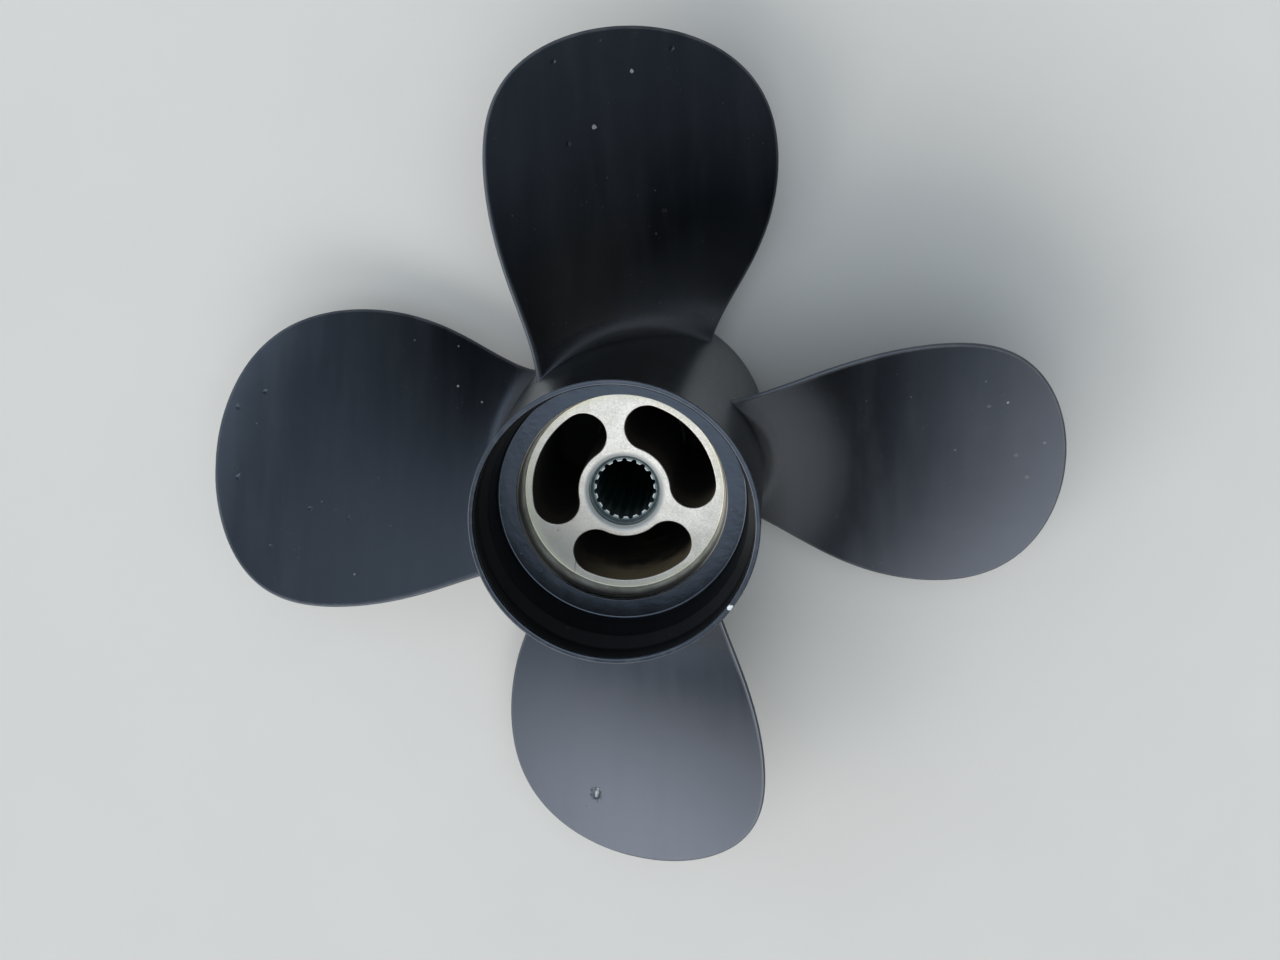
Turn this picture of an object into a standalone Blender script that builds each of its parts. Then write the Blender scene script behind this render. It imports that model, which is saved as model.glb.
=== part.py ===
"""Boat propeller, the aft one of a contra-rotating pair: four blades, right-handed.

One aluminium casting stands on the forward end of its hub, with the aft end up. The hub is a
barrel around a ring with three exhaust ports, three webs and a bearing boss. A splined sleeve
is pressed into the boss. The casting is modelled as its named regions, parted by thin seams.

Metres, +Z up and aft. The origin is on the shaft axis, in the plane of the forward end face.
"""
import bmesh
import bpy
from math import acos, asin, atan2, cos, hypot, pi, radians, sin, sqrt

# Overall sizes
PROPELLER_RADIUS = 0.175
HUB_RADIUS = 0.0534
HUB_LENGTH = 0.158

# Seam between neighbouring regions of the casting, and the sleeve's fit in its boss
SEAM = 0.0003

# Barrel: forward counterbore, and an aft recess whose wall thins in a taper to a thin rim
BARREL_WALL = 0.0056
RECESS_WALL = 0.0048
RIM_WALL = 0.0022
RIM_ROUNDING = 0.0008
TAPER_END_DEPTH = 0.0200
TAPER_START_DEPTH = 0.0095

# Port ring, from its outside in: painted ledge, steep bare wall, and the rim of the ports
LEDGE_DEPTH = 0.0378
LEDGE_WIDTH = 0.0071
BARE_WALL_RUN = 0.0017
FACE_DEPTH = 0.049
FACE_WIDTH = 0.0032
PORT_RING_LENGTH = 0.091

# Exhaust ports: arc-shaped slots with round ends, and the webs left between them
PORT_COUNT = 3
FIRST_PORT_ANGLE = radians(35.7)
WEB_THICKNESS = 0.0074

# Bearing boss, its lip over the sleeve, and the chamfer at its mouth
BOSS_RADIUS = 0.018
BOSS_FORWARD_END = 0.014
BOSS_WALL = 0.0027
LIP_LENGTH = 0.003
LIP_WIDTH = 0.0015
MOUTH_CHAMFER = 0.0013

# Splined sleeve
SLEEVE_FORWARD_END = 0.011
SPLINE_TEETH = 19
FIRST_TOOTH_ANGLE = radians(3.5)
SPLINE_ROOT_RADIUS = 0.0122
SPLINE_TIP_RADIUS = 0.0110
TOOTH_SHARE = 0.52
FLANK_SHARE = 0.08

# Blades: values at even steps along the span, from the hub's surface to the tip
BLADE_COUNT = 4
BLADE_ANGLE = radians(90)
WIDTH_AT_HUB = 0.0685
WIDTH_AT_QUARTER = 0.0945
WIDTH_AT_HALF = 0.1295
WIDTH_AT_THREE_QUARTERS = 0.173
WIDTH_AT_TIP = 0.2575
SKEW_AT_THIRD = -0.049
SKEW_AT_TWO_THIRDS = -0.048
SKEW_AT_TIP = -0.024
HEIGHT_AT_HUB = 0.0605
HEIGHT_AT_HALF = 0.0585
HEIGHT_AT_TIP = 0.062
PITCH_AT_HUB = 0.394
PITCH_AT_HALF = 0.436
PITCH_AT_TIP = 0.442
THICKNESS_AT_HUB = 0.0105
THICKNESS_AT_TIP = 0.0030
EDGE_THICKNESS = 0.0024
ROOT_FILLET = 0.009
FILLET_SHARE_AT_EDGES = 0.05

# Facets
RING_FACETS = 72
SLOT_END_FACETS = 10
CHORD_FACETS = 16
SPAN_ROWS = 13
FILLET_ROWS = (0, 0.12, 0.4)
ROOT_LAYERS = 9
LAST_ROW_TURN = radians(87.5)
NARROWEST_NOSE = 0.4

# Worked out from the sizes above
RIM_Z = HUB_LENGTH
LEDGE_Z = RIM_Z - LEDGE_DEPTH
FACE_Z = RIM_Z - FACE_DEPTH
PORT_RING_FORWARD_Z = FACE_Z - PORT_RING_LENGTH
BARREL_BORE = HUB_RADIUS - BARREL_WALL
PORT_RING_RADIUS = BARREL_BORE - SEAM
LEDGE_INNER_RADIUS = PORT_RING_RADIUS - LEDGE_WIDTH
FACE_RADIUS = LEDGE_INNER_RADIUS - BARE_WALL_RUN
PORT_OUTER_RADIUS = FACE_RADIUS - FACE_WIDTH
PORT_WIDTH = PORT_OUTER_RADIUS - BOSS_RADIUS
PORT_PITCH_RADIUS = BOSS_RADIUS + PORT_WIDTH / 2
PORT_SPACING = 2 * pi / PORT_COUNT
PORT_SWEEP = PORT_SPACING - 2 * asin((PORT_WIDTH + WEB_THICKNESS) / 2 / PORT_PITCH_RADIUS)
BOSS_BORE = BOSS_RADIUS - BOSS_WALL
LIP_BORE = BOSS_BORE - LIP_WIDTH
SLEEVE_RADIUS = BOSS_BORE - SEAM
SLEEVE_AFT_Z = FACE_Z - LIP_LENGTH - SEAM
ROOT_RADIUS = HUB_RADIUS + SEAM

PAINT = ("black_paint", (0.012, 0.014, 0.018), 0.38, 0.0)
BARE = ("bare_aluminium", (0.72, 0.72, 0.69), 0.36, 1.0)
STEEL = ("sleeve_steel", (0.30, 0.34, 0.34), 0.32, 1.0)


def clear_scene():
    for obj in list(bpy.data.objects):
        bpy.data.objects.remove(obj, do_unlink=True)


def new_collection(name):
    collection = bpy.data.collections.new(name)
    bpy.context.scene.collection.children.link(collection)
    return collection


def finish(obj, surface):
    """Put an object in the propeller's collection, with a material of its own and smooth sides."""
    for collection in list(obj.users_collection):
        collection.objects.unlink(obj)
    PROPELLER.objects.link(obj)
    label, colour, roughness, metallic = surface
    material = bpy.data.materials.new(obj.name + "_" + label)
    material.use_nodes = True
    shader = material.node_tree.nodes["Principled BSDF"]
    shader.inputs["Base Color"].default_value = (*colour, 1.0)
    shader.inputs["Roughness"].default_value = roughness
    shader.inputs["Metallic"].default_value = metallic
    obj.data.materials.clear()
    obj.data.materials.append(material)
    obj.data.shade_smooth()
    obj.data.set_sharp_from_angle(angle=radians(30))
    return obj


def turned(name, profile, surface, rounding=0.0):
    """A ring about the shaft axis. Its closed profile of (radius, z) runs down the outer side."""
    mesh = bpy.data.meshes.new(name)
    count = len(profile)
    points = [(radius, 0.0, z) for radius, z in profile]
    edges = [(index, (index + 1) % count) for index in range(count)]
    mesh.from_pydata(points, edges, [])
    obj = finish(bpy.data.objects.new(name, mesh), surface)
    screw = obj.modifiers.new("turn", "SCREW")
    screw.axis = "Z"
    screw.angle = 2 * pi
    screw.steps = RING_FACETS
    screw.render_steps = RING_FACETS
    screw.use_merge_vertices = True
    screw.merge_threshold = 0.00001
    if rounding:
        bevel = obj.modifiers.new("rounding", "BEVEL")
        bevel.width = rounding
        bevel.segments = 2
        bevel.limit_method = "ANGLE"
        bevel.angle_limit = radians(60)
    return obj


def extruded(name, outlines, bottom, top):
    """A mesh from flat closed outlines, standing between two heights. A second outline is a hole."""
    curve = bpy.data.curves.new(name, "CURVE")
    curve.dimensions = "2D"
    curve.fill_mode = "BOTH"
    curve.extrude = (top - bottom) / 2
    for outline in outlines:
        spline = curve.splines.new("POLY")
        spline.points.add(len(outline) - 1)
        for point, (x, y) in zip(spline.points, outline):
            point.co = (x, y, 0.0, 1.0)
        spline.use_cyclic_u = True
    guide = bpy.data.objects.new(name + "_outline", curve)
    guide.location.z = (top + bottom) / 2
    bpy.context.scene.collection.objects.link(guide)
    bpy.context.view_layer.update()
    evaluated = guide.evaluated_get(bpy.context.evaluated_depsgraph_get())
    mesh = bpy.data.meshes.new_from_object(evaluated)
    welded = bmesh.new()
    welded.from_mesh(mesh)
    bmesh.ops.remove_doubles(welded, verts=welded.verts, dist=0.000005)
    welded.to_mesh(mesh)
    welded.free()
    obj = bpy.data.objects.new(name, mesh)
    obj.matrix_world = guide.matrix_world.copy()
    bpy.data.objects.remove(guide, do_unlink=True)
    return obj


def on_circle(radius, angle):
    return radius * cos(angle), radius * sin(angle)


def through(values, place):
    """Read, at place 0 to 1, the smooth curve that passes evenly spaced values."""
    stations = [index / (len(values) - 1) for index in range(len(values))]
    total = 0.0
    for here, value in zip(stations, values):
        weight = 1.0
        for other in stations:
            if other != here:
                weight *= (place - other) / (here - other)
        total += value * weight
    return total


# Hub barrel: straight outside, counterbored forward, with the tapered recess aft

def make_barrel():
    rim_bore = HUB_RADIUS - RIM_WALL
    profile = [
        (HUB_RADIUS, RIM_Z),
        (HUB_RADIUS, 0.0),
        (BARREL_BORE, 0.0),
        (BARREL_BORE, LEDGE_Z),
        (HUB_RADIUS - RECESS_WALL, RIM_Z - TAPER_END_DEPTH),
        (rim_bore, RIM_Z - TAPER_START_DEPTH),
        (rim_bore, RIM_Z),
    ]
    turned("hub_barrel", profile, PAINT, RIM_ROUNDING)


# Port ring: carries the ledge, the bare wall and the outer walls of the exhaust ports

def make_port_ring():
    profile = [
        (PORT_RING_RADIUS, LEDGE_Z),
        (PORT_RING_RADIUS, PORT_RING_FORWARD_Z),
        (PORT_OUTER_RADIUS, PORT_RING_FORWARD_Z),
        (PORT_OUTER_RADIUS, FACE_Z),
        (FACE_RADIUS, FACE_Z),
        (LEDGE_INNER_RADIUS, LEDGE_Z),
    ]
    turned("port_ring", profile, BARE)


# Webs: what is left between the round ends of neighbouring ports

def slot_end_arc(centre_angle, side, inner, outer):
    """Points on a slot's round end, from the inner to the outer radius, on the web's side."""
    end_radius = PORT_WIDTH / 2
    centre = on_circle(PORT_PITCH_RADIUS, centre_angle)

    def turn_at(radius):
        opposite = PORT_PITCH_RADIUS ** 2 + end_radius ** 2 - radius ** 2
        return acos(opposite / (2 * PORT_PITCH_RADIUS * end_radius))

    points = []
    for index in range(SLOT_END_FACETS + 1):
        share = index / SLOT_END_FACETS
        turn = turn_at(inner) + (turn_at(outer) - turn_at(inner)) * share
        heading = centre_angle + pi - side * turn
        points.append((centre[0] + end_radius * cos(heading), centre[1] + end_radius * sin(heading)))
    return points


def arc_between(start, end, steps):
    """Points between two points at one radius, without the ends, the short way round the axis."""
    first = atan2(start[1], start[0])
    swing = (atan2(end[1], end[0]) - first + pi) % (2 * pi) - pi
    radius = hypot(*start)
    return [on_circle(radius, first + swing * index / steps) for index in range(1, steps)]


def make_webs():
    inner = BOSS_RADIUS + SEAM
    outer = PORT_OUTER_RADIUS - SEAM
    for index in range(PORT_COUNT):
        port_angle = FIRST_PORT_ANGLE + index * PORT_SPACING
        right = slot_end_arc(port_angle + PORT_SWEEP / 2, 1, inner, outer)
        left = slot_end_arc(port_angle + PORT_SPACING - PORT_SWEEP / 2, -1, inner, outer)
        outline = right + arc_between(right[-1], left[-1], SLOT_END_FACETS)
        outline += left[::-1] + arc_between(left[0], right[0], SLOT_END_FACETS)
        web = extruded(f"web_{index + 1}", [outline], PORT_RING_FORWARD_Z, FACE_Z)
        finish(web, BARE)


# Bearing boss: a tube with a chamfered lip at its aft mouth, where the sleeve stops

def make_boss():
    profile = [
        (BOSS_RADIUS, FACE_Z),
        (BOSS_RADIUS, BOSS_FORWARD_END),
        (BOSS_BORE, BOSS_FORWARD_END),
        (BOSS_BORE, FACE_Z - LIP_LENGTH),
        (LIP_BORE, FACE_Z - LIP_LENGTH),
        (LIP_BORE, FACE_Z - MOUTH_CHAMFER),
        (LIP_BORE + MOUTH_CHAMFER, FACE_Z),
    ]
    turned("bearing_boss", profile, BARE)


# Splined sleeve: a plain tube outside, with the teeth that the shaft drives inside

def make_sleeve():
    outside = [on_circle(SLEEVE_RADIUS, 2 * pi * index / RING_FACETS) for index in range(RING_FACETS)]
    tooth_pitch = 2 * pi / SPLINE_TEETH
    half = tooth_pitch * TOOTH_SHARE / 2
    flank = tooth_pitch * FLANK_SHARE
    inside = []
    for tooth in range(SPLINE_TEETH):
        middle = FIRST_TOOTH_ANGLE + tooth * tooth_pitch
        inside.append(on_circle(SPLINE_ROOT_RADIUS, middle - half - flank))
        inside.append(on_circle(SPLINE_TIP_RADIUS, middle - half + flank))
        inside.append(on_circle(SPLINE_TIP_RADIUS, middle + half - flank))
        inside.append(on_circle(SPLINE_ROOT_RADIUS, middle + half + flank))
    sleeve = extruded("splined_sleeve", [outside, inside], SLEEVE_FORWARD_END, SLEEVE_AFT_Z)
    finish(sleeve, STEEL)


# Blades: sections wrapped on cylinders about the shaft, with a flat aft face and a round back

def root_flare(rise_above_root):
    """How far the root fillet stands out from the blade's faces at a distance above its root."""
    left = ROOT_FILLET - rise_above_root
    if left <= 0:
        return 0.0
    return ROOT_FILLET - sqrt(ROOT_FILLET ** 2 - left ** 2)


def section(above_root):
    """One section, on a cylinder that far above the blade's root: its place function and stations.

    The function's across runs from -1 at the leading edge to 1 at the trailing edge, and its
    layer from 0 on the aft face to 1 on the back.
    """
    radius = ROOT_RADIUS + above_root
    span = (radius - HUB_RADIUS) / (PROPELLER_RADIUS - HUB_RADIUS)
    widths = (WIDTH_AT_HUB, WIDTH_AT_QUARTER, WIDTH_AT_HALF, WIDTH_AT_THREE_QUARTERS, WIDTH_AT_TIP)
    flare = root_flare(above_root)
    edge_flare = flare * FILLET_SHARE_AT_EDGES
    half_width = through(widths, span) * sqrt(1 - span ** 2) / 2 + edge_flare
    middle = BLADE_ANGLE + through((0.0, SKEW_AT_THIRD, SKEW_AT_TWO_THIRDS, SKEW_AT_TIP), span)
    height = through((HEIGHT_AT_HUB, HEIGHT_AT_HALF, HEIGHT_AT_TIP), span)
    rise = through((PITCH_AT_HUB, PITCH_AT_HALF, PITCH_AT_TIP), span) / (2 * pi)
    slant = hypot(rise, radius)
    thickest = THICKNESS_AT_HUB + (THICKNESS_AT_TIP - THICKNESS_AT_HUB) * span
    edge = min(EDGE_THICKNESS, thickest)

    def place(across, layer):
        fullness = 1 - across ** 2
        local_flare = edge_flare + (flare - edge_flare) * fullness
        thickness = edge + (thickest - edge) * fullness + 2 * local_flare
        depth = thickness * layer - local_flare
        angle = middle + across * half_width / radius + depth * rise / (slant * radius)
        z = height + rise * across * half_width / radius - depth * radius / slant
        return (*on_circle(radius, angle), z)

    inset = 1 - min(NARROWEST_NOSE, edge / 2 / half_width)
    stations = [-inset * cos(pi * index / CHORD_FACETS) for index in range(CHORD_FACETS + 1)]
    return place, stations


def section_loop(shape, above_root):
    """Corners round one section: aft face, trailing nose, back, leading nose."""
    place, stations = section(above_root)
    points = [place(across, 0) for across in stations] + [place(1, 0.5)]
    points += [place(across, 1) for across in reversed(stations)] + [place(-1, 0.5)]
    return [shape.verts.new(point) for point in points]


def close_section(shape, loop, above_root, layers):
    """Close a blade's end with faces that lie on the cylinder of its section."""
    place, stations = section(above_root)
    count = len(stations)
    rows = [loop[:count]]
    for layer in range(1, layers):
        rows.append([shape.verts.new(place(across, layer / layers)) for across in stations])
    rows.append(loop[count + 1:2 * count + 1][::-1])
    for row, following in zip(rows, rows[1:]):
        for index in range(count - 1):
            shape.faces.new((row[index], row[index + 1], following[index + 1], following[index]))
        shape.faces.new((row[-1], loop[count], following[-1]))
        shape.faces.new((row[0], following[0], loop[-1]))


def section_places():
    """How far above the root each section lies: close together in the fillet and at the tip."""
    places = [ROOT_FILLET * share for share in FILLET_ROWS]
    free_length = PROPELLER_RADIUS - ROOT_RADIUS - ROOT_FILLET
    for index in range(SPAN_ROWS):
        places.append(ROOT_FILLET + free_length * sin(LAST_ROW_TURN * index / (SPAN_ROWS - 1)))
    return places


def make_blades():
    shape = bmesh.new()
    places = section_places()
    loops = [section_loop(shape, place) for place in places]
    for inner, outer in zip(loops, loops[1:]):
        for index, corner in enumerate(inner):
            after = (index + 1) % len(inner)
            shape.faces.new((corner, inner[after], outer[after], outer[index]))
    close_section(shape, loops[0], places[0], ROOT_LAYERS)
    close_section(shape, loops[-1], places[-1], 1)
    bmesh.ops.recalc_face_normals(shape, faces=shape.faces)
    for index in range(BLADE_COUNT):
        name = f"blade_{index + 1}"
        mesh = bpy.data.meshes.new(name)
        shape.to_mesh(mesh)
        blade = bpy.data.objects.new(name, mesh)
        blade.rotation_euler.z = index * 2 * pi / BLADE_COUNT
        finish(blade, PAINT)
    shape.free()


clear_scene()
PROPELLER = new_collection("boat_propeller")
make_barrel()
make_port_ring()
make_webs()
make_boss()
make_sleeve()
make_blades()
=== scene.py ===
"""Boat propeller, the aft one of a contra-rotating pair, standing on the forward end of its hub."""
from math import acos, asin, cos, hypot, pi, radians, sin, sqrt

import bmesh
import bpy
from mathutils import Matrix, Vector


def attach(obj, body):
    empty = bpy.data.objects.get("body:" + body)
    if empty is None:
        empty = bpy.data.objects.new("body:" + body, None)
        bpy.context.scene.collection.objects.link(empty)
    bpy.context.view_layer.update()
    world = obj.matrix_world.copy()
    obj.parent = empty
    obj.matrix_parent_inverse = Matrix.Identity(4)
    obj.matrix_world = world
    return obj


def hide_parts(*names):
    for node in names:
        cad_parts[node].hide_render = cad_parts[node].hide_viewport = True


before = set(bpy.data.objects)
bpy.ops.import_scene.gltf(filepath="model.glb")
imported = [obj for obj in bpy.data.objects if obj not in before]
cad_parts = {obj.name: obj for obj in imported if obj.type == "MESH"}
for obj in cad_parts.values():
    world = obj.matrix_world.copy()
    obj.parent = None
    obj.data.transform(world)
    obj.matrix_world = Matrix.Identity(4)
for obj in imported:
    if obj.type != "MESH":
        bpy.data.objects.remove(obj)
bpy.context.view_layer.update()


# Camera: it stands where the photograph was taken from, about 0.84 m above the floor and a little
# beyond the tip of blade_1, and looks down into the hub. Its lens fills the frame with the propeller.

STANDPOINT = Vector((0.0673, 0.1822, 0.8396))
LOOKED_AT = Vector((0.0022, -0.0075, 0.060))
PHOTO_RIGHT = Vector((0.98989, 0.01209, 0.14133))
LENS = 55

back = (STANDPOINT - LOOKED_AT).normalized()
right = (PHOTO_RIGHT - back * PHOTO_RIGHT.dot(back)).normalized()
camera = bpy.data.objects.new("camera", bpy.data.cameras.new("camera"))
camera.data.lens = LENS
camera.data.sensor_width = 36
camera.data.clip_start = 0.01
turned_to_view = Matrix((right, back.cross(right), back)).transposed().to_4x4()
camera.matrix_world = Matrix.Translation(STANDPOINT) @ turned_to_view
bpy.context.scene.collection.objects.link(camera)
bpy.context.scene.camera = camera
bpy.context.scene.view_settings.view_transform = "Standard"


# Painted hub: the outside of the one aluminium casting, a straight barrel turned to size and
# sprayed satin black. Its aft recess widens in a taper to a thin skirt and ends at a cast ledge. The
# paint reaches just past the ledge's inner edge, and exhaust has left matt soot in the recess. Its
# taper and skirt carry painted light, and its wall a small painted highlight.

HUB_RADIUS = 0.0534
HUB_LENGTH = 0.158
HUB_FACETS = 288
FORWARD_BORE = 0.0478
PORT_RING_FORWARD_Z = 0.018
SKIRT_BORE = 0.0512
SOOT_END_Z = 0.1570
LEDGE_Z = 0.1202
SOOT_START_Z = 0.1222
RECESS_BORE = 0.0478
TAPER_START_BORE = 0.0486
TAPER_START_Z = 0.1380
TAPER_END_Z = 0.1485
LEDGE_INNER_RADIUS = 0.0404
FACE_Z = 0.109
FACE_RADIUS = 0.0387
PAINTED_WALL_Z = 0.1187
CASTING_SPLIT_RADIUS = 0.0412
FULL_DEPTH_DENT = 0.0022
RUBBED_EDGE = (0.0006, 0.0016)
SOOT_INDEX = 1.06
SOOT_DULLNESS = 0.16
RIM_CHIP = ((0.0414, -0.0323, 0.158), 0.0012, 1.0)
# A painted highlight: a small grey patch low on the recess wall.
RECESS_PAINTED_HIGHLIGHT = ((-0.0213, -0.0458, 0.1405), 0.0014, 0.12)


class Wire:
    """A value in a node tree. Arithmetic on it adds the nodes that work it out."""

    def __init__(self, recipe, socket):
        self.recipe = recipe
        self.socket = socket

    def __add__(self, other):
        return self.recipe.maths("ADD", self, other)

    def __sub__(self, other):
        return self.recipe.maths("SUBTRACT", self, other)

    def __rsub__(self, other):
        return self.recipe.maths("SUBTRACT", other, self)

    def __mul__(self, other):
        return self.recipe.maths("MULTIPLY", self, other)

    def __pow__(self, other):
        return self.recipe.maths("POWER", self, other)

    __radd__ = __add__
    __rmul__ = __mul__

    def rising(self, low, high):
        """0 below low, 1 above high, and a soft step between."""
        limits = {"Value": self, "From Min": low, "From Max": high}
        return self.recipe.node("MapRange", {"interpolation_type": "SMOOTHSTEP"}, limits)

    def falling(self, low, high):
        return 1 - self.rising(low, high)


class Recipe:
    """A node tree in the making."""

    def __init__(self, tree):
        self.tree = tree

    def node(self, kind, settings=None, values=None, output=0):
        made = self.tree.nodes.new("ShaderNode" + kind)
        for name, setting in (settings or {}).items():
            setattr(made, name, setting)
        for name, value in (values or {}).items():
            self.feed(made.inputs[name], value)
        return Wire(self, made.outputs[output])

    def feed(self, socket, value):
        if isinstance(value, Wire):
            self.tree.links.new(value.socket, socket)
        else:
            socket.default_value = value

    def maths(self, operation, *values):
        return self.node("Math", {"operation": operation}, dict(enumerate(values)))

    def noise(self, place, scale, detail=2.0, roughness=0.5):
        look = {"Vector": place, "Scale": scale, "Detail": detail, "Roughness": roughness}
        return self.node("TexNoise", None, look)

    def blend(self, share, first, second):
        """A colour on the way from the first to the second."""
        colours = {0: share, 6: first, 7: second}
        return self.node("Mix", {"data_type": "RGBA"}, colours, output=2)

    def along(self, direction, axis):
        values = {0: direction, 1: axis}
        return self.node("VectorMath", {"operation": "DOT_PRODUCT"}, values, output="Value")


class Finish(Recipe):
    """A material that feeds one Principled shader."""

    def __init__(self, name, **constants):
        self.material = bpy.data.materials.new(name)
        self.material.use_nodes = True
        super().__init__(self.material.node_tree)
        self.shader = self.tree.nodes["Principled BSDF"]
        self.place = self.node("TexCoord", output="Object")
        self.x = self.along(self.place, (1, 0, 0))
        self.y = self.along(self.place, (0, 1, 0))
        self.z = self.along(self.place, (0, 0, 1))
        self.radius = (self.x * self.x + self.y * self.y) ** 0.5
        self.raggedness = self.noise(self.place, 900) - 0.5
        self.show(**constants)

    def show(self, **looks):
        for name, value in looks.items():
            if isinstance(value, tuple):
                value = (*value, 1.0)
            self.feed(self.shader.inputs[name.replace("_", " ")], value)

    def relief(self, height, strength, depth):
        """Bumps of that depth, in metres, from a height of 0 to 1."""
        values = {"Height": height, "Strength": strength, "Distance": depth}
        self.show(Normal=self.node("Bump", None, values))

    def specks(self, scale, reach, share):
        """Specks in that share of the cells of a cell pattern, of that reach in cell widths."""
        cells = {"Vector": self.place, "Scale": scale}
        away = self.node("TexVoronoi", None, cells, output="Distance")
        lot = self.node("TexVoronoi", None, cells, output="Color")
        return away.falling(reach * 0.6, reach) * self.along(lot, (1, 0, 0)).falling(share, share + 0.02)

    def near(self, centre, reach, softness=0.3):
        """A ragged spot of that reach round a point of the propeller."""
        values = {0: self.place, 1: centre}
        away = self.node("VectorMath", {"operation": "DISTANCE"}, values, output="Value")
        return (away + self.raggedness * reach).falling(reach * (1 - softness), reach)


def black_paint(name, index=1.68, dullness=0.0, sooted=False, dry_spray=None, chips=(), dents=(),
                rubbed_edges=False):
    """Satin blue-black enamel: faintly wavy and smudged, with dust and small chips in it.

    Between the two radii of dry_spray it turns rougher, where the spray landed nearly dry. When
    sooted, it is lighter on the taper and skirt of the recess, which is painted light, and a chip
    can stand for a painted highlight.
    """
    finish = Finish(name, IOR=index, Specular_Tint=(0.74, 0.825, 1.0))
    cloud = finish.noise(finish.place, 16, 4, 0.6)
    waves = finish.noise(finish.place, 24, 2, 0.4)
    grain = finish.noise(finish.place, 420, 3, 0.6)
    stretched = {0: finish.place, 1: (120, 14, 14)}
    wiped = finish.node("VectorMath", {"operation": "MULTIPLY"}, stretched)
    smudge = finish.noise(wiped, 1.0, 4, 0.6).rising(0.35, 0.75)
    dusty = finish.noise(finish.place, 30, 2).rising(0.40, 0.62)
    dust = finish.specks(170, 0.10, 0.22) * dusty + finish.specks(520, 0.16, 0.10) * dusty * 0.5
    ledge = finish.z.falling(LEDGE_Z + 0.0003, LEDGE_Z + 0.0006)
    ledge = ledge * finish.radius.falling(RECESS_BORE, RECESS_BORE + 0.0002)
    ledge = ledge * finish.z.rising(LEDGE_Z - 0.0012, LEDGE_Z - 0.0007)
    rim = finish.z.rising(HUB_LENGTH - 0.00035, HUB_LENGTH - 0.00010)
    bare = rim * finish.noise(finish.place, 260, 3).rising(0.45, 0.65) * 0.02
    for centre, reach, strength in chips:
        bare = finish.maths("MAXIMUM", bare, finish.near(centre, reach) * strength)
    dent = sum(finish.near(centre, reach, 1.0) * (reach / FULL_DEPTH_DENT) for centre, reach in dents)
    black = (0.0008, 0.0010, 0.0012, 1)
    faded = (0.0022, 0.0026, 0.0030, 1)
    colour = finish.blend(cloud.rising(0.35, 0.7), black, faded)
    film = smudge * 0.06
    if sooted:
        # Painted light: the taper and the skirt of the recess are lighter grey than the rest of the
        # soot.
        lit_taper_band = finish.z.rising(TAPER_START_Z, TAPER_START_Z + 0.0015)
        lit_taper_band = lit_taper_band * finish.z.falling(TAPER_END_Z - 0.0020, TAPER_END_Z)
        lit_skirt_band = finish.z.rising(TAPER_END_Z + 0.0015, SOOT_END_Z - 0.0010)
        film = film + 0.10 + lit_taper_band * 0.22 + lit_skirt_band * 0.12
    colour = finish.blend(film, colour, (0.05, 0.052, 0.055, 1))
    colour = finish.blend(dust * 0.4, colour, (0.10, 0.105, 0.11, 1))
    colour = finish.blend(bare, colour, (0.70, 0.70, 0.68, 1))
    roughness = 0.17 + cloud * 0.07 + smudge * 0.045 + (grain - 0.5) * 0.06 + dust * 0.3
    roughness = roughness + dullness
    if dry_spray:
        roughness = roughness + finish.radius.rising(*dry_spray) * 0.10
    if rubbed_edges:
        edge = finish.node("Attribute", {"attribute_name": "edge_distance"}, output="Fac")
        rubbed = edge.falling(*RUBBED_EDGE) * (0.5 + smudge * 0.5)
        colour = finish.blend(rubbed, colour, (0.05, 0.05, 0.05, 1))
        roughness = roughness + rubbed * 0.22
    finish.show(Base_Color=colour, Roughness=roughness, Metallic=bare)
    cast_skin = (finish.noise(finish.place, 200, 3, 0.6) * 0.2 + grain * 0.1) * ledge
    finish.relief(waves * 0.85 - dent * 1.2 + cast_skin, 1.0, 0.00025)
    return finish


def rounded(corners, steps=5):
    """A closed profile of (radius, z), from corners of (radius, z, rounding)."""
    profile = []
    for index, (radius, z, rounding) in enumerate(corners):
        corner = Vector((radius, z))
        before = (Vector(corners[index - 1][:2]) - corner).normalized()
        after = (Vector(corners[(index + 1) % len(corners)][:2]) - corner).normalized()
        if not rounding:
            profile.append((radius, z))
            continue
        half = acos(max(-1.0, min(1.0, before.dot(after)))) / 2
        centre = corner + (before + after).normalized() * rounding / sin(half)
        reach = rounding * cos(half) / sin(half)
        start = (corner + before * reach - centre).normalized()
        end = (corner + after * reach - centre).normalized()
        for step in range(steps + 1):
            profile.append(tuple(centre + start.slerp(end, step / steps) * rounding))
    return profile


def ring(mesh, radius, z, facets=HUB_FACETS):
    turns = [2 * pi * index / facets for index in range(facets)]
    return [mesh.verts.new((radius * cos(turn), radius * sin(turn), z)) for turn in turns]


def skin(mesh, rows):
    """Faces between closed rows of points, each row joined to the next."""
    for row, following in zip(rows, rows[1:]):
        for index in range(len(row)):
            after = (index + 1) % len(row)
            mesh.faces.new((row[index], row[after], following[after], following[index]))


def piece(name, mesh, finish, slot, *nodes):
    """Make the finished mesh a piece of the model, in place of those nodes of the frame."""
    bmesh.ops.recalc_face_normals(mesh, faces=mesh.faces)
    data = bpy.data.meshes.new(name)
    mesh.to_mesh(data)
    mesh.free()
    data.shade_smooth()
    data.set_sharp_from_angle(angle=radians(40))
    data.materials.append(finish.material)
    made = bpy.data.objects.new(name, data)
    bpy.context.scene.collection.objects.link(made)
    weighting = made.modifiers.new("even_shading", "WEIGHTED_NORMAL")
    weighting.keep_sharp = True
    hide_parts(*nodes)
    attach(made, "root")


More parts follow.
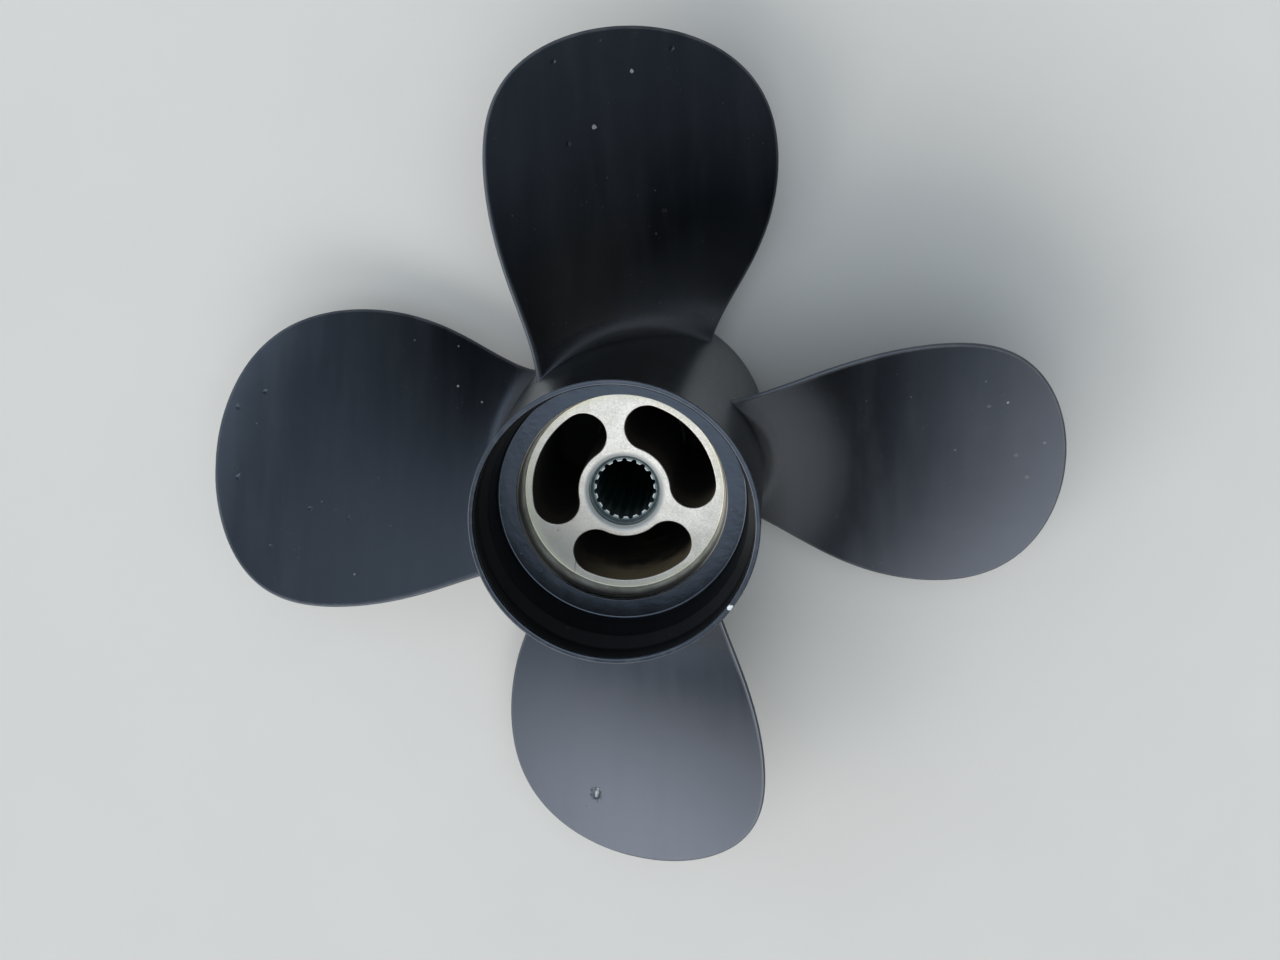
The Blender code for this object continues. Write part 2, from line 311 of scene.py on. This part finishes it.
recess_slope = (TAPER_START_BORE - RECESS_BORE) / (TAPER_START_Z - LEDGE_Z)
recess_foot_radius = RECESS_BORE + recess_slope * (SOOT_START_Z - LEDGE_Z)
wall_slope = (LEDGE_INNER_RADIUS - FACE_RADIUS) / (LEDGE_Z - FACE_Z)
painted_wall_radius = LEDGE_INNER_RADIUS - (LEDGE_Z - PAINTED_WALL_Z) * wall_slope
shell_corners = [
    (SKIRT_BORE, SOOT_END_Z, 0),
    (SKIRT_BORE, HUB_LENGTH, 0.0008),
    (HUB_RADIUS, HUB_LENGTH, 0.0005),
    (HUB_RADIUS, 0.0, 0.0006),
    (FORWARD_BORE, 0.0, 0.0006),
    (FORWARD_BORE, PORT_RING_FORWARD_Z, 0.003),
    (CASTING_SPLIT_RADIUS, PORT_RING_FORWARD_Z, 0),
    (CASTING_SPLIT_RADIUS, PAINTED_WALL_Z, 0),
    (painted_wall_radius, PAINTED_WALL_Z, 0),
    (LEDGE_INNER_RADIUS, LEDGE_Z, 0.00025),
    (RECESS_BORE, LEDGE_Z, 0.0009),
    (recess_foot_radius, SOOT_START_Z, 0),
]
recess_corners = [
    (recess_foot_radius, SOOT_START_Z, 0),
    (TAPER_START_BORE, TAPER_START_Z, 0.006),
    (SKIRT_BORE, TAPER_END_Z, 0.006),
    (SKIRT_BORE, SOOT_END_Z, 0),
]
hub = bmesh.new()
skin(hub, [ring(hub, radius, z) for radius, z in rounded(shell_corners)])
outside = (HUB_RADIUS - 0.00015, HUB_RADIUS - 0.00002)
hub_paint = black_paint("hub_paint", dry_spray=outside, chips=[RIM_CHIP])
piece("hub_shell", hub, hub_paint, "hub_paint", "hub_barrel")
recess = bmesh.new()
skin(recess, [ring(recess, radius, z) for radius, z in rounded(recess_corners)])
sooted_paint = black_paint("sooted_paint", index=SOOT_INDEX, dullness=SOOT_DULLNESS, sooted=True,
                           chips=[RECESS_PAINTED_HIGHLIGHT])
piece("hub_recess", recess, sooted_paint, "hub_paint", "hub_barrel")


# Port casting: the middle of the same casting, left bare. Its aft face is machined bright, three
# exhaust ports run through it, and the boss between them carries the sleeve. Exhaust has stained
# the walls of the ports brown. Painted shade darkens the ports deeper down, the bare wall under
# the ledge, the mouth of the bore and the lower left of the face.

BOSS_RADIUS = 0.018
BOSS_BORE = 0.0153
BOSS_FORWARD_END = 0.014
LIP_BORE = 0.0138
LIP_LENGTH = 0.003
MOUTH_CHAMFER = 0.0013
PORT_WIDTH = 0.0175
PORT_PITCH_RADIUS = BOSS_RADIUS + PORT_WIDTH / 2
WEB_THICKNESS = 0.0074
PORT_COUNT = 3
FIRST_PORT_ANGLE = radians(35.7)
PORT_SWEEP = 2 * pi / PORT_COUNT - 2 * asin((PORT_WIDTH + WEB_THICKNESS) / 2 / PORT_PITCH_RADIUS)
PORT_EDGE_ROUNDING = 0.0005
SPLIT_GAP = 0.00001
CASTING_FACETS = 192


def port_outline(angle, growth):
    """Points round a port, an arc-shaped slot with round ends, grown by a margin."""
    end_radius = PORT_WIDTH / 2 + growth
    points = []
    for side, opening in ((1, 0), (-1, pi)):
        turn = angle + side * PORT_SWEEP / 2
        for step in range(33):
            heading = turn + opening + pi * step / 32
            points.append((PORT_PITCH_RADIUS * cos(turn) + end_radius * cos(heading),
                           PORT_PITCH_RADIUS * sin(turn) + end_radius * sin(heading)))
        radius = PORT_PITCH_RADIUS - side * end_radius
        for step in range(1, 32):
            turn = angle + side * PORT_SWEEP / 2 * (1 - step / 16)
            points.append((radius * cos(turn), radius * sin(turn)))
    return points


def port_walls(mesh, angle):
    """Rows of points down one port, from its rounded aft edge to its rounded forward edge."""
    levels = []
    for step in range(5):
        turn = pi / 2 * step / 4
        levels.append((PORT_EDGE_ROUNDING * (1 - sin(turn)), PORT_EDGE_ROUNDING * (1 - cos(turn))))
    places = [(growth, FACE_Z - depth) for growth, depth in levels]
    for share in (0.2, 0.4, 0.6, 0.8):
        places.append((0.0, FACE_Z + (PORT_RING_FORWARD_Z - FACE_Z) * share))
    places += [(growth, PORT_RING_FORWARD_Z + depth) for growth, depth in reversed(levels)]
    return [[mesh.verts.new((x, y, z)) for x, y in port_outline(angle, growth)] for growth, z in places]


def face_between(mesh, rows):
    """A flat face with holes, from the closed rows of points that bound it."""
    edges = []
    for row in rows:
        for index in range(len(row)):
            edge = mesh.edges.get((row[index - 1], row[index]))
            edges.append(edge or mesh.edges.new((row[index - 1], row[index])))
    bmesh.ops.triangle_fill(mesh, use_beauty=True, edges=edges)


FACE_PIT = (-0.0265, -0.0150, FACE_Z)
FACE_PIT_REACH = 0.0004
SCORE_ALONG = (-0.12, -0.99, 0)
SCORE_ACROSS = (0.99, -0.12, 0)
SCORE_OFFSET = 0.0168
LIGHTER_PORT_SIDE = (0.5, -0.866, 0)
SHADED_FACE_SIDE = (-0.7, -0.7, 0)


def bare_casting(name):
    """Bare cast aluminium: machined aft face, yellowed wall up to the paint, brown ports."""
    finish = Finish(name, IOR=1.5)
    cloud = finish.noise(finish.place, 130, 4, 0.65)
    grain = finish.noise(finish.place, 1100, 3, 0.7)
    broad = finish.noise(finish.place, 38, 3, 0.6)
    in_mouth = finish.radius.falling(0.0150, 0.0160) * finish.z.rising(FACE_Z - 0.0040, FACE_Z - 0.0035)
    # Painted shade: the mouth of the bore darkens with depth.
    mouth_shade_depth = finish.z.falling(FACE_Z - 0.0028, FACE_Z - 0.0006)
    mouth = finish.blend(mouth_shade_depth, (0.56, 0.56, 0.54, 1), (0.19, 0.205, 0.205, 1))
    on_face = finish.z.rising(FACE_Z - 0.0006, FACE_Z - 0.0002) * (1 - in_mouth)
    on_wall = finish.z.rising(FACE_Z + 0.00005, FACE_Z + 0.00050)
    ragged_height = finish.z + (cloud - 0.5) * 0.0012
    painted = ragged_height.rising(PAINTED_WALL_Z - 0.0011, PAINTED_WALL_Z - 0.0007)
    # The port walls darken with depth: soot, and painted shade deep in the ports. Towards one side they
    # stay lighter brown.
    deep_soot_and_shade = finish.z.falling(FACE_Z - 0.0310, FACE_Z - 0.0002)
    soot_and_shade = (deep_soot_and_shade * 0.75 + (cloud - 0.5) * 0.9).rising(0.10, 0.80)
    lighter_side_of_ports = finish.along(finish.place, LIGHTER_PORT_SIDE).rising(0.014, 0.032)
    soot_and_shade = 1 - (1 - soot_and_shade) * (lighter_side_of_ports * 0.9 + 0.1)
    ports = finish.blend(soot_and_shade, (0.25, 0.19, 0.11, 1), (0.014, 0.010, 0.007, 1))
    mottle = (cloud * 0.4 + grain * 0.6).rising(0.36, 0.64)
    machined = finish.blend(mottle, (0.42, 0.385, 0.335, 1), (0.61, 0.565, 0.51, 1))
    # Painted shade: the machined face is darker towards the lower left.
    painted_shade_lower_left = finish.along(finish.place, SHADED_FACE_SIDE).rising(-0.012, 0.036)
    machined = finish.blend(painted_shade_lower_left * 0.8, machined, (0.25, 0.228, 0.20, 1))
    score_run = finish.along(finish.place, SCORE_ALONG)
    beside_score = finish.along(finish.place, SCORE_ACROSS) + SCORE_OFFSET + (cloud - 0.5) * 0.001
    score = finish.maths("ABSOLUTE", beside_score).falling(0.0001, 0.0003)
    score = score * score_run.rising(0.0288, 0.0300) * score_run.falling(0.0350, 0.0362)
    pits = finish.specks(640, 0.14, 0.15) * 0.6 + finish.near(FACE_PIT, FACE_PIT_REACH) + score
    machined = finish.blend(pits * 0.75, machined, (0.10, 0.095, 0.085, 1))
    ragged_radius = finish.radius + (broad - 0.5) * 0.006
    rim_stain = ragged_radius.rising(FACE_RADIUS - 0.0027, FACE_RADIUS + 0.0005)
    machined = finish.blend(rim_stain * 0.5, machined, (0.42, 0.40, 0.27, 1))
    wall = finish.blend(cloud.rising(0.35, 0.65), (0.38, 0.375, 0.34, 1), (0.62, 0.61, 0.56, 1))
    # Painted shade: the bare wall darkens towards the ledge above it.
    painted_shade_up_wall = (finish.z + (broad - 0.5) * 0.005).rising(FACE_Z + 0.0015, FACE_Z + 0.0070)
    wall = finish.blend(painted_shade_up_wall, wall, (0.022, 0.023, 0.023, 1))
    colour = finish.blend(on_face, ports, machined)
    colour = finish.blend(in_mouth, colour, mouth)
    colour = finish.blend(on_wall, colour, wall)
    colour = finish.blend(painted, colour, (0.0100, 0.0106, 0.0112, 1))
    metal = on_face * 0.92 + in_mouth * 0.45 - on_wall * 0.5 - painted * 0.42
    roughness = 0.72 - on_face * 0.35 - in_mouth * 0.06 + on_wall * 0.1 - painted * 0.3
    roughness = roughness + (grain - 0.5) * 0.2
    finish.show(Base_Color=colour, Metallic=metal, Roughness=roughness)
    finish.relief(grain, 0.35, 0.00012)
    return finish


casting = bmesh.new()
outer_corners = [
    (FACE_RADIUS - 0.0009, FACE_Z, 0),
    (FACE_RADIUS, FACE_Z, 0.0006),
    (painted_wall_radius, PAINTED_WALL_Z, 0),
    (CASTING_SPLIT_RADIUS - SPLIT_GAP, PAINTED_WALL_Z - SPLIT_GAP, 0),
    (CASTING_SPLIT_RADIUS - SPLIT_GAP, PORT_RING_FORWARD_Z, 0),
]
boss_corners = [
    (BOSS_RADIUS - 0.0018, FACE_Z, 0),
    (LIP_BORE + MOUTH_CHAMFER, FACE_Z, 0.0011),
    (LIP_BORE, FACE_Z - MOUTH_CHAMFER, 0.0005),
    (LIP_BORE, FACE_Z - LIP_LENGTH, 0),
    (BOSS_BORE, FACE_Z - LIP_LENGTH, 0),
    (BOSS_BORE, BOSS_FORWARD_END, 0.0003),
    (BOSS_RADIUS, BOSS_FORWARD_END, 0.0003),
    (BOSS_RADIUS, PORT_RING_FORWARD_Z, 0.0012),
    (BOSS_RADIUS + 0.0017, PORT_RING_FORWARD_Z, 0),
]
outer_rings = [ring(casting, radius, z, CASTING_FACETS) for radius, z in rounded(outer_corners)]
boss_rings = [ring(casting, radius, z, CASTING_FACETS) for radius, z in rounded(boss_corners)]
skin(casting, outer_rings)
skin(casting, boss_rings)
port_ends = []
for index in range(PORT_COUNT):
    walls = port_walls(casting, FIRST_PORT_ANGLE + index * 2 * pi / PORT_COUNT)
    skin(casting, walls)
    port_ends.append((walls[0], walls[-1]))
face_between(casting, [outer_rings[0], boss_rings[0]] + [aft for aft, forward in port_ends])
face_between(casting, [outer_rings[-1], boss_rings[-1]] + [forward for aft, forward in port_ends])
casting_metal = bare_casting("port_casting_metal")
piece("port_casting", casting, casting_metal, "port_ring_metal",
      "port_ring", "web_1", "web_2", "web_3", "bearing_boss")


# Splined sleeve: a steel tube pressed into the boss, with nineteen teeth cut down its bore and a
# countersunk mouth. It has a dull green-grey film, and only the ends of the teeth are bright.

SLEEVE_RADIUS = 0.0150
SLEEVE_FORWARD_END = 0.011
SLEEVE_AFT_Z = 0.1057
MOUTH_RADIUS = 0.0134
SPLINE_ROOT_RADIUS = 0.0122
SPLINE_TIP_RADIUS = 0.0110
SPLINE_TEETH = 19
FIRST_TOOTH_ANGLE = radians(3.5)
TOOTH_END_Z = 0.1046
FORWARD_TOOTH_END_Z = 0.0120
# Half a tooth, from the middle of the gap beside it to its flat top: pairs of a share of the pitch
# and a share of the height.
HALF_TOOTH = ((0.50, 0.0), (0.42, 0.0), (0.36, 0.03), (0.32, 0.2), (0.26, 0.5), (0.20, 0.8),
              (0.165, 0.97), (0.12, 1.0))


def spline_row(mesh, z, tallest=1.0):
    """Points round the bore: each tooth as steps of the pitch, with its height from root to tip."""
    tooth = [(-offset, height) for offset, height in HALF_TOOTH] + [(0.0, 1.0)]
    tooth += list(reversed(HALF_TOOTH))[:-1]
    row = []
    for index in range(SPLINE_TEETH):
        for offset, height in tooth:
            turn = FIRST_TOOTH_ANGLE + (index + offset) * 2 * pi / SPLINE_TEETH
            radius = SPLINE_ROOT_RADIUS + (SPLINE_TIP_RADIUS - SPLINE_ROOT_RADIUS) * min(height, tallest)
            row.append(mesh.verts.new((radius * cos(turn), radius * sin(turn), z)))
    return row


def plain_row(mesh, spline, radius, z):
    """A circle of points, one beside each point of a spline row."""
    row = []
    for point in spline:
        across = hypot(point.co.x, point.co.y)
        row.append(mesh.verts.new((point.co.x * radius / across, point.co.y * radius / across, z)))
    return row


def sleeve_steel(name):
    """Steel with a thin green-grey film, worn off the ends of the teeth, and painted shade down the
    bore.
    """
    finish = Finish(name)
    film = finish.noise(finish.place, 260, 4, 0.6)
    bright = finish.radius.falling(SPLINE_TIP_RADIUS + 0.00050, SPLINE_TIP_RADIUS + 0.00065)
    bright = bright * finish.z.rising(TOOTH_END_Z - 0.00020, TOOTH_END_Z - 0.00005)
    # Painted shade: down the bore the film darkens to a deep teal.
    depth = finish.z.falling(TOOTH_END_Z - 0.0196, TOOTH_END_Z - 0.0001)
    colour = finish.blend(film.rising(0.3, 0.7), (0.105, 0.135, 0.138, 1), (0.180, 0.215, 0.218, 1))
    colour = finish.blend(depth, colour, (0.018, 0.055, 0.050, 1))
    colour = finish.blend(bright, colour, (0.42, 0.42, 0.40, 1))
    finish.show(Base_Color=colour, Metallic=0.55 + bright * 0.4, Roughness=0.42 - bright * 0.12)
    finish.relief(film, 0.2, 0.00005)
    return finish


sleeve = bmesh.new()
toothed = [spline_row(sleeve, TOOTH_END_Z, 0.85)]
for z in (TOOTH_END_Z - 0.0006, 0.085, 0.06, 0.035, FORWARD_TOOTH_END_Z):
    toothed.append(spline_row(sleeve, z))
pattern = toothed[0]
rows = toothed + [plain_row(sleeve, pattern, radius, z) for radius, z in (
    (SPLINE_ROOT_RADIUS + 0.0002, FORWARD_TOOTH_END_Z),
    (MOUTH_RADIUS, SLEEVE_FORWARD_END),
    (SLEEVE_RADIUS - 0.0003, SLEEVE_FORWARD_END),
    (SLEEVE_RADIUS, SLEEVE_FORWARD_END + 0.0003),
    (SLEEVE_RADIUS, SLEEVE_AFT_Z - 0.0003),
    (SLEEVE_RADIUS - 0.0003, SLEEVE_AFT_Z),
    (MOUTH_RADIUS, SLEEVE_AFT_Z),
    (SPLINE_ROOT_RADIUS + 0.0001, TOOTH_END_Z),
)]
skin(sleeve, rows + rows[:1])
steel = sleeve_steel("sleeve_steel")
piece("splined_sleeve_detail", sleeve, steel, "sleeve_metal", "splined_sleeve")


# Blades: four broad skewed blades, cast in one with the hub and painted with it. The aft face is
# a plain helical surface that runs into the hub through a wide fillet. The back is rounded, and
# the thin edge is rounded over and rubbed dull.

PROPELLER_RADIUS = 0.1749
BLADE_COUNT = 4
BLADE_ANGLE = radians(90)
# The next four are read at even steps from the hub to the tip, where a round end closes the width.
WIDTHS = (0.0685, 0.0945, 0.1295, 0.173, 0.2575)
SKEWS = (0.0, -0.049, -0.048, -0.024)
HEIGHTS = (0.0605, 0.0585, 0.062)
PITCHES = (0.394, 0.436, 0.442)
THICKNESS_AT_HUB = 0.0105
THICKNESS_AT_TIP = 0.0030
EDGE_THICKNESS = 0.0016
LIP_SQUARENESS = 3
ROOT_FILLET = 0.009
FILLET_SHARE_AT_EDGES = 0.05
ROOT_SINK = 0.00006
CHORD_STEPS = 80
FILLET_STEPS = 14
SPAN_STEPS = 56


def through(values, place):
    """Read, at place 0 to 1, the smooth curve that passes evenly spaced values."""
    stations = [index / (len(values) - 1) for index in range(len(values))]
    total = 0.0
    for here, value in zip(stations, values):
        weight = 1.0
        for other in stations:
            if other != here:
                weight *= (place - other) / (here - other)
        total += value * weight
    return total


def edge_distance(across, span, half_scale, widening, length):
    """How far a place on the blade lies inside its outline, near enough for the rounded edge."""
    inside = (1 - span ** 2) * (1 - across ** 2)
    chordwise = 2 * across * sqrt(1 - span ** 2) / half_scale
    spanwise = 2 / length * (span - across ** 2 * (1 - span ** 2) * widening / half_scale)
    return inside / max(hypot(chordwise, spanwise), 1e-6)


def blade_row(mesh, distances, above_root, turned):
    """One row of points round a blade, at one distance above its root: aft face, then back."""
    radius = HUB_RADIUS + above_root
    length = PROPELLER_RADIUS - HUB_RADIUS
    span = min(above_root / length, 1.0)
    left = min(max(ROOT_FILLET - above_root, 0.0), ROOT_FILLET)
    flare = ROOT_FILLET - sqrt(ROOT_FILLET ** 2 - left ** 2)
    edge_flare = flare * FILLET_SHARE_AT_EDGES
    half_scale = through(WIDTHS, span) / 2
    widening = (through(WIDTHS, span + 0.001) / 2 - half_scale) / 0.001
    half_width = half_scale * sqrt(1 - span ** 2) + edge_flare
    middle = turned + through(SKEWS, span)
    height = through(HEIGHTS, span)
    rise = through(PITCHES, span) / (2 * pi)
    slant = hypot(rise, radius)
    thickest = THICKNESS_AT_HUB + (THICKNESS_AT_TIP - THICKNESS_AT_HUB) * span
    edge = min(EDGE_THICKNESS, thickest)
    aft, rear = [], []
    for step in range(CHORD_STEPS + 1):
        across = -cos(pi * step / CHORD_STEPS)
        fullness = 1 - across ** 2
        local_flare = edge_flare + (flare - edge_flare) * fullness
        half_thickness = (edge + (thickest - edge) * fullness) / 2 + local_flare
        inward = edge_distance(across, span, half_scale, widening, length)
        lip = edge / 2 + edge_flare
        outward = max(1 - inward / lip, 0.0)
        roundness = (1 - outward ** LIP_SQUARENESS) ** (1 / LIP_SQUARENESS)
        centre = half_thickness - local_flare
        for row, side in ((aft, -1), (rear, 1)):
            if side == 1 and step in (0, CHORD_STEPS):
                continue
            depth = centre + side * half_thickness * roundness
            turn = middle + across * half_width / radius + depth * rise / (slant * radius)
            z = height + rise * across * half_width / radius - depth * radius / slant
            point = mesh.verts.new((radius * cos(turn), radius * sin(turn), z))
            point[distances] = inward
            row.append(point)
    return aft + rear[::-1]


def blade(turned):
    mesh = bmesh.new()
    distances = mesh.verts.layers.float.new("edge_distance")
    heights = [-ROOT_SINK]
    for step in range(1, FILLET_STEPS):
        heights.append(ROOT_FILLET * (1 - cos(pi / 2 * step / FILLET_STEPS)))
    free_length = PROPELLER_RADIUS - HUB_RADIUS - ROOT_FILLET
    for step in range(SPAN_STEPS):
        heights.append(ROOT_FILLET + free_length * sin(pi / 2 * step / SPAN_STEPS))
    rows = [blade_row(mesh, distances, height, turned) for height in heights]
    skin(mesh, rows)
    for row in (rows[0], rows[-1]):
        for step in range(1, CHORD_STEPS):
            front, behind = row[step], row[-step]
            after = row[step + 1]
            if step + 1 < CHORD_STEPS:
                mesh.faces.new((front, after, row[-step - 1], behind))
            else:
                mesh.faces.new((front, after, behind))
        mesh.faces.new((row[0], row[1], row[-1]))
    return mesh


def on_aft_face(number, distance, turn):
    """The point of that blade's aft face at that distance from the axis and turn past its root."""
    span = (distance - HUB_RADIUS) / (PROPELLER_RADIUS - HUB_RADIUS)
    past_middle = radians(turn) - through(SKEWS, span)
    z = through(HEIGHTS, span) + through(PITCHES, span) / (2 * pi) * past_middle
    turn_in_all = BLADE_ANGLE + (number - 1) * 2 * pi / BLADE_COUNT + radians(turn)
    return (distance * cos(turn_in_all), distance * sin(turn_in_all), z)


# Each mark is its blade, distance from the axis, degrees past the root and reach. A chip also has
# its brightness, from 0 for paint to 1 for bare metal.
CHIPS = [
    (1, 0.1574, -2.1, 0.0008, 1.0), (1, 0.1371, 3.9, 0.0010, 1.0),
    (2, 0.0806, -21.4, 0.0006, 0.7), (2, 0.0687, -19.3, 0.0005, 0.4),
    (2, 0.0878, -30.5, 0.0004, 0.3), (2, 0.1204, 18.6, 0.0005, 0.2),
    (3, 0.1487, -8.65, 0.0008, 0.22), (3, 0.1501, -8.7, 0.0010, 0.30), (3, 0.1516, -8.75, 0.0009, 0.30),
    (4, 0.1522, 9.1, 0.0006, 0.3), (4, 0.1448, 9.0, 0.0009, 0.06), (4, 0.1659, 1.9, 0.0007, 0.10),
    (4, 0.1548, 0.0, 0.0010, 0.05), (4, 0.1599, -3.7, 0.0010, 0.06), (4, 0.1305, 1.3, 0.0007, 0.08),
]
DENTS = [
    (1, 0.1322, 8.35, 0.0013), (1, 0.1642, 8.2, 0.0012), (1, 0.1666, -7.35, 0.0012),
    (1, 0.1030, -8.9, 0.0011), (2, 0.1575, -11.5, 0.0013), (2, 0.1677, -8.9, 0.0012),
    (2, 0.1647, 0.5, 0.0015), (2, 0.1347, 6.0, 0.0013), (2, 0.1187, 8.6, 0.0012),
    (2, 0.1528, 10.6, 0.0009), (3, 0.1510, -8.9, 0.0034),
]
chips = [(on_aft_face(*place), reach, brightness) for *place, reach, brightness in CHIPS]
dents = [(on_aft_face(*place), reach) for *place, reach in DENTS]
dry_root = (HUB_RADIUS + 0.0126, HUB_RADIUS + 0.0016)
blade_paint = black_paint("blade_paint", dry_spray=dry_root, chips=chips, dents=dents, rubbed_edges=True)
for index in range(BLADE_COUNT):
    mesh = blade(BLADE_ANGLE + index * 2 * pi / BLADE_COUNT)
    piece(f"blade_{index + 1}_skin", mesh, blade_paint, "blade_paint", f"blade_{index + 1}")


# Floor: plain pale concrete grey, with nothing on it but the propeller. Only the disc inside the hub
# is painted dark, a painted shade, so that the ports look as deep as they are.

FLOOR_REACH = 60
floor_mesh = bmesh.new()
bmesh.ops.create_grid(floor_mesh, x_segments=2, y_segments=2, size=FLOOR_REACH)
floor_data = bpy.data.meshes.new("floor")
floor_mesh.to_mesh(floor_data)
floor_mesh.free()
floor = bpy.data.objects.new("floor", floor_data)
bpy.context.scene.collection.objects.link(floor)
pale = Finish("pale_floor", Roughness=0.9)
patchy = pale.noise(pale.place, 9, 5, 0.65)
concrete = pale.blend(patchy, (0.475, 0.455, 0.425, 1), (0.515, 0.495, 0.465, 1))
# Painted shade: the floor inside the hub is dark, as if in the hub's shadow.
painted_shade_under_hub = pale.radius.falling(FORWARD_BORE - 0.0038, FORWARD_BORE + 0.0022)
pale.show(Base_Color=pale.blend(painted_shade_under_hub, concrete, (0.012, 0.010, 0.008, 1)))
floor_data.materials.append(pale.material)


# Light: a soft studio dome with no lamps. With +Y as far, its main light is at the near left and a
# dimmer one at the far left. A pale ceiling has a window in it, a bright strip runs low down, and a
# small warm card is at the right. The rest is dark, so each blade mirrors a different part of it.

TOWARDS_MAIN_LIGHT = (-0.8192, -0.5736, 0)
ACROSS_MAIN_LIGHT = (0.5736, -0.8192, 0)
FAR_HALF = (0.53, 0.85, 0)
WINDOW = (0.06, 0.13, 0.99)
LOW_STRIP = (-0.82, 0.57, 0)
world = bpy.data.worlds.new("studio")
world.use_nodes = True
bpy.context.scene.world = world
dome = Recipe(world.node_tree)
facing = dome.node("TexCoord", output="Generated")
up = dome.along(facing, (0, 0, 1))
ahead = dome.along(facing, TOWARDS_MAIN_LIGHT)
aside = dome.along(facing, ACROSS_MAIN_LIGHT)
# Turn from the main light and height over the horizon, both in radians.
turn = dome.maths("ARCTAN2", aside, ahead)
height = dome.maths("ARCSINE", up)
main_light = turn.rising(-1.04, -0.145) * (turn - height * 0.62).falling(0.09, 1.39)
main_light = main_light * (1 - turn.rising(-0.1, 0.12) * turn.falling(0.35, 0.65) * 0.22)
main_light = main_light * height.rising(0.015, 0.71) * height.falling(0.87, 1.26)
far_left = turn.rising(-2.66, -1.46) * turn.falling(-1.26, -0.08)
far_left = far_left * height.falling(0.43, 1.25) * height.rising(-0.2, 0.2)
far_half = dome.along(facing, FAR_HALF).rising(-0.285, -0.215)
ceiling = height.rising(0.38, 0.84) * (1 - height.rising(1.0, 1.2) * (1 - far_half) * 0.9)
window = dome.along(facing, WINDOW).rising(0.88, 0.935) * far_half
low_strip = up.falling(0.05, 0.16) * dome.along(facing, LOW_STRIP).rising(-0.1, 0.8)
card = turn.rising(2.22, 2.48) * turn.falling(2.65, 3.0) * height.falling(0.35, 0.65)
strength = 0.01 + main_light * 4.4 + far_left * 0.95 + ceiling * 0.28
strength = strength + window * 2.2 + low_strip * 1.7 + card * 0.09
tint = dome.blend(main_light.rising(0.05, 0.4), (0.81, 0.94, 1.06, 1), (0.97, 0.98, 0.99, 1))
tint = dome.blend(card, tint, (1.30, 1.20, 1.0, 1))
seen = dome.node("LightPath", output="Is Camera Ray")
background = world.node_tree.nodes["Background"]
dome.feed(background.inputs["Color"], dome.blend(seen, tint, (0.95, 0.96, 0.95, 1)))
dome.feed(background.inputs["Strength"], strength * (1 - seen) + seen * 0.62)
